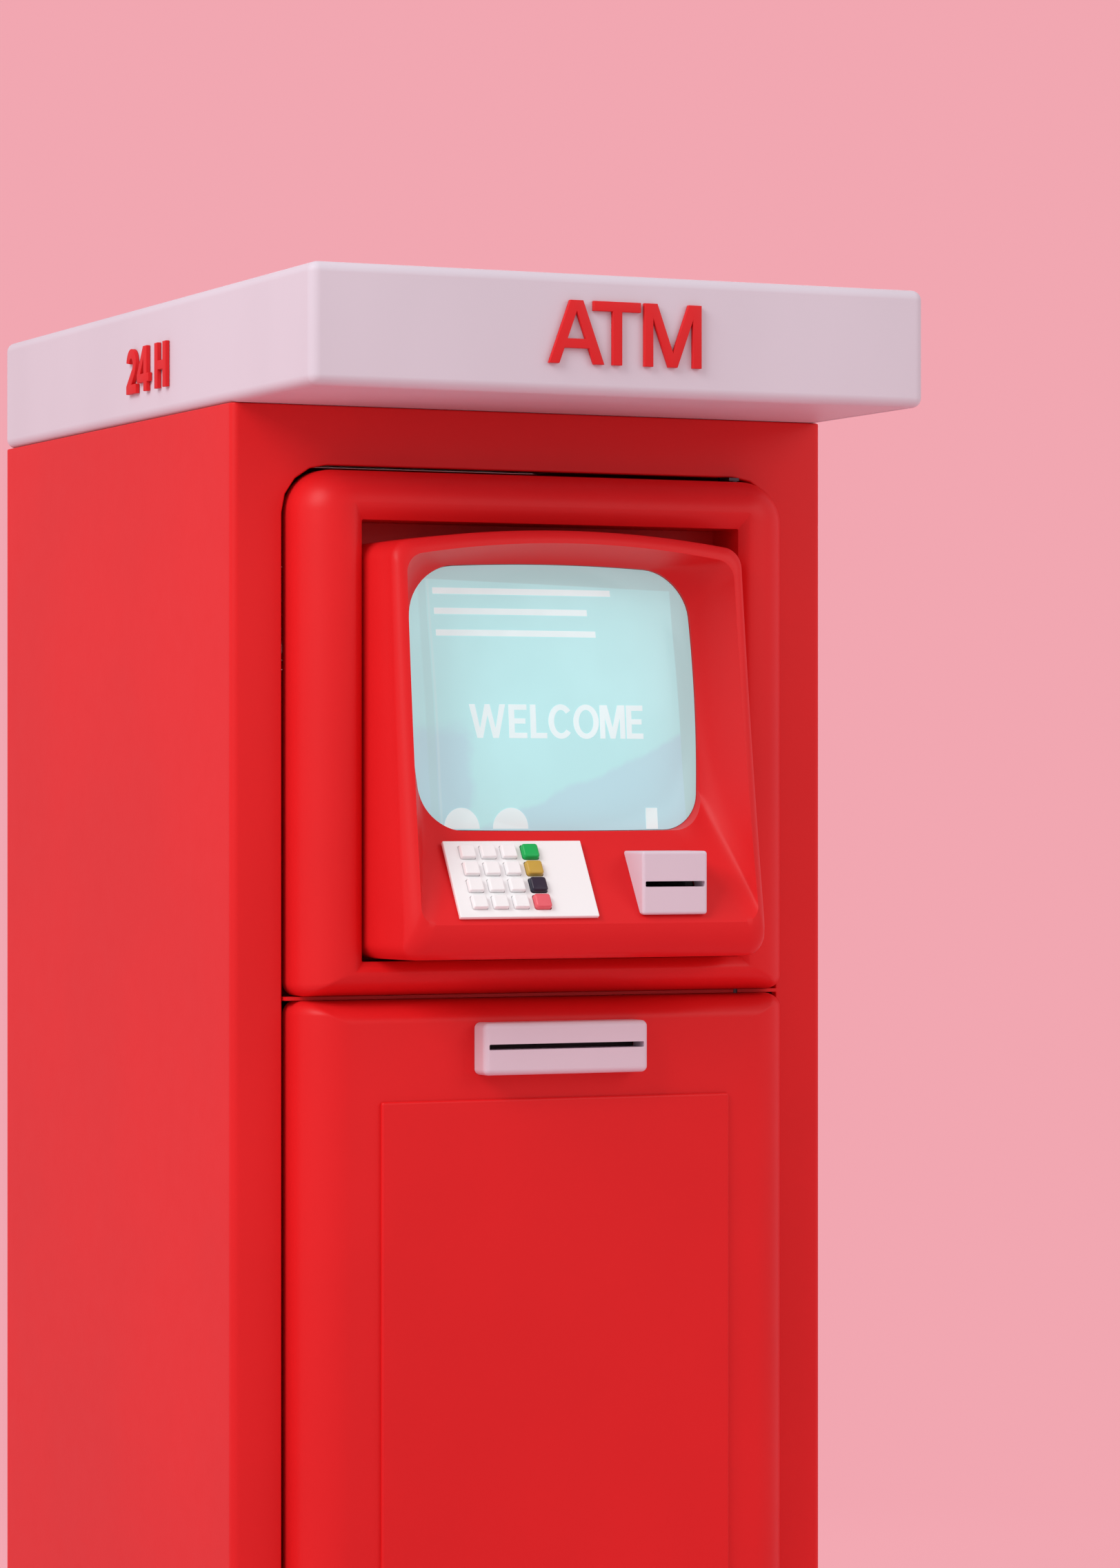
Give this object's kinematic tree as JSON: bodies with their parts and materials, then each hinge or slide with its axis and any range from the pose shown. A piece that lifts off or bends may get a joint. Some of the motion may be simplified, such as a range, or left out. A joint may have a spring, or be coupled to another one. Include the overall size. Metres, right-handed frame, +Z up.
{
  "type": "cash machine",
  "caption": "Free-standing cash machine with overhanging sign canopy, hooded screen with keypad and card slot, hinged panels, safe and note slot",
  "frame": {"origin": "on the floor under the middle of the machine's bounding box", "axes": "+Z up, front (screen and slots) towards -Y, +X to the right seen from the front"},
  "size_m": [0.645, 0.905, 1.5778],
  "materials": {
    "cabinet_red": "satin red paint, very fine texture",
    "canopy_pale": "satin lavender-white moulding",
    "bezel_pale": "satin lavender moulding",
    "keypad_white": "semi-gloss white",
    "key_green": "semi-gloss green",
    "key_yellow": "semi-gloss ochre yellow",
    "key_navy": "semi-gloss dark navy",
    "key_rose": "semi-gloss rose red",
    "screen_glass": "crowned display glass, pale teal picture",
    "steel": "zinc-plated or bare steel",
    "case_grey": "grey powder coat",
    "black_plastic": "black moulding, fine grain",
    "plinth_black": "black powder coat",
    "rubber": "black rubber"
  },
  "bodies": {
    "cabinet": {"cabinet_shell": "cabinet_red", "plinth": "plinth_black", "floor_plate": "steel", "levelling_foot_1": "rubber", "levelling_foot_2": "rubber", "levelling_foot_3": "rubber", "levelling_foot_4": "rubber", "rear_panel": "cabinet_red", "power_inlet": "black_plastic", "fan_frame": "black_plastic", "canopy_shell": "canopy_pale", "canopy_soffit": "canopy_pale", "centre_rail": "cabinet_red", "centre_hinge_pin": "steel", "top_hinge_lug": "steel", "bottom_hinge_lug": "steel", "safe_body": "case_grey", "cassette_rack": "steel", "cash_cassette_1": "black_plastic", "cash_cassette_2": "black_plastic", "cash_cassette_3": "black_plastic", "note_transport": "case_grey", "divider_shelf": "steel", "controller_box": "case_grey", "power_supply": "case_grey"},
    "upper_panel": {"surround_frame": "cabinet_red", "hood_shell": "cabinet_red", "hood_back": "black_plastic", "screen_glass": "screen_glass", "picture_tube": "black_plastic", "keypad_plate": "keypad_white", "keypad_base": "black_plastic", "card_reader_bezel": "bezel_pale", "card_reader_body": "case_grey"},
    "lower_door": {"door_skin": "cabinet_red", "door_panel": "cabinet_red", "cash_slot_bezel": "bezel_pale", "door_slab": "steel"},
    "cash_shutter": {"cash_shutter": "black_plastic"},
    "door_lock": {"door_lock": "steel"},
    "feed_roller": {"feed_roller": "rubber"},
    "pinch_roller": {"pinch_roller": "steel"},
    "card_roller": {"card_roller": "rubber"},
    "fan_rotor": {"fan_rotor": "black_plastic"},
    "key_1_1": {"key_1_1": "keypad_white"},
    "key_1_2": {"key_1_2": "keypad_white"},
    "key_1_3": {"key_1_3": "keypad_white"},
    "key_1_4": {"key_1_4": "key_green"},
    "key_2_1": {"key_2_1": "keypad_white"},
    "key_2_2": {"key_2_2": "keypad_white"},
    "key_2_3": {"key_2_3": "keypad_white"},
    "key_2_4": {"key_2_4": "key_yellow"},
    "key_3_1": {"key_3_1": "keypad_white"},
    "key_3_2": {"key_3_2": "keypad_white"},
    "key_3_3": {"key_3_3": "keypad_white"},
    "key_3_4": {"key_3_4": "key_navy"},
    "key_4_1": {"key_4_1": "keypad_white"},
    "key_4_2": {"key_4_2": "keypad_white"},
    "key_4_3": {"key_4_3": "keypad_white"},
    "key_4_4": {"key_4_4": "key_rose"}
  },
  "joints": [
    {"name": "upper_panel_hinge", "type": "hinge", "parent": "cabinet", "child": "upper_panel", "pos_m": [0.218, -0.2455, 1.144], "axis": [0, 0, 1], "range_deg": [0, 90]},
    {"name": "lower_door_hinge", "type": "hinge", "parent": "cabinet", "child": "lower_door", "pos_m": [0.218, -0.2455, 0.5], "axis": [0, 0, 1], "range_deg": [0, 90]},
    {"name": "cash_shutter_slide", "type": "slide", "parent": "lower_door", "child": "cash_shutter", "axis": [0, 0, 1], "range_m": [0, 0.009]},
    {"name": "door_lock_turn", "type": "hinge", "parent": "lower_door", "child": "door_lock", "pos_m": [-0.125, -0.2988, 0.3], "axis": [0, 1, 0], "range_deg": [0, 90]},
    {"name": "feed_roller_spin", "type": "hinge", "parent": "cabinet", "child": "feed_roller", "pos_m": [0, -0.1895, 0.8307], "axis": [1, 0, 0], "continuous": true},
    {"name": "pinch_roller_spin", "type": "hinge", "parent": "cabinet", "child": "pinch_roller", "pos_m": [0, -0.1895, 0.8483], "axis": [1, 0, 0], "continuous": true},
    {"name": "card_roller_spin", "type": "hinge", "parent": "upper_panel", "child": "card_roller", "pos_m": [0.087, -0.2995, 0.99145], "axis": [1, 0, 0], "continuous": true},
    {"name": "fan_spin", "type": "hinge", "parent": "cabinet", "child": "fan_rotor", "pos_m": [0, 0.4277, 1.285], "axis": [0, 1, 0], "continuous": true},
    {"name": "key_1_1_press", "type": "slide", "parent": "upper_panel", "child": "key_1_1", "axis": [0, 0.8499, -0.527], "range_m": [0, 0.0025], "stiffness_N_per_m": 300, "springref_m": -0.001},
    {"name": "key_1_2_press", "type": "slide", "parent": "upper_panel", "child": "key_1_2", "axis": [0, 0.8499, -0.527], "range_m": [0, 0.0025], "stiffness_N_per_m": 300, "springref_m": -0.001},
    {"name": "key_1_3_press", "type": "slide", "parent": "upper_panel", "child": "key_1_3", "axis": [0, 0.8499, -0.527], "range_m": [0, 0.0025], "stiffness_N_per_m": 300, "springref_m": -0.001},
    {"name": "key_1_4_press", "type": "slide", "parent": "upper_panel", "child": "key_1_4", "axis": [0, 0.8499, -0.527], "range_m": [0, 0.0025], "stiffness_N_per_m": 300, "springref_m": -0.001},
    {"name": "key_2_1_press", "type": "slide", "parent": "upper_panel", "child": "key_2_1", "axis": [0, 0.8499, -0.527], "range_m": [0, 0.0025], "stiffness_N_per_m": 300, "springref_m": -0.001},
    {"name": "key_2_2_press", "type": "slide", "parent": "upper_panel", "child": "key_2_2", "axis": [0, 0.8499, -0.527], "range_m": [0, 0.0025], "stiffness_N_per_m": 300, "springref_m": -0.001},
    {"name": "key_2_3_press", "type": "slide", "parent": "upper_panel", "child": "key_2_3", "axis": [0, 0.8499, -0.527], "range_m": [0, 0.0025], "stiffness_N_per_m": 300, "springref_m": -0.001},
    {"name": "key_2_4_press", "type": "slide", "parent": "upper_panel", "child": "key_2_4", "axis": [0, 0.8499, -0.527], "range_m": [0, 0.0025], "stiffness_N_per_m": 300, "springref_m": -0.001},
    {"name": "key_3_1_press", "type": "slide", "parent": "upper_panel", "child": "key_3_1", "axis": [0, 0.8499, -0.527], "range_m": [0, 0.0025], "stiffness_N_per_m": 300, "springref_m": -0.001},
    {"name": "key_3_2_press", "type": "slide", "parent": "upper_panel", "child": "key_3_2", "axis": [0, 0.8499, -0.527], "range_m": [0, 0.0025], "stiffness_N_per_m": 300, "springref_m": -0.001},
    {"name": "key_3_3_press", "type": "slide", "parent": "upper_panel", "child": "key_3_3", "axis": [0, 0.8499, -0.527], "range_m": [0, 0.0025], "stiffness_N_per_m": 300, "springref_m": -0.001},
    {"name": "key_3_4_press", "type": "slide", "parent": "upper_panel", "child": "key_3_4", "axis": [0, 0.8499, -0.527], "range_m": [0, 0.0025], "stiffness_N_per_m": 300, "springref_m": -0.001},
    {"name": "key_4_1_press", "type": "slide", "parent": "upper_panel", "child": "key_4_1", "axis": [0, 0.8499, -0.527], "range_m": [0, 0.0025], "stiffness_N_per_m": 300, "springref_m": -0.001},
    {"name": "key_4_2_press", "type": "slide", "parent": "upper_panel", "child": "key_4_2", "axis": [0, 0.8499, -0.527], "range_m": [0, 0.0025], "stiffness_N_per_m": 300, "springref_m": -0.001},
    {"name": "key_4_3_press", "type": "slide", "parent": "upper_panel", "child": "key_4_3", "axis": [0, 0.8499, -0.527], "range_m": [0, 0.0025], "stiffness_N_per_m": 300, "springref_m": -0.001},
    {"name": "key_4_4_press", "type": "slide", "parent": "upper_panel", "child": "key_4_4", "axis": [0, 0.8499, -0.527], "range_m": [0, 0.0025], "stiffness_N_per_m": 300, "springref_m": -0.001}
  ],
  "couplings": [
    {"joint": "feed_roller_spin", "follows": "pinch_roller_spin", "ratio": -1}
  ]
}
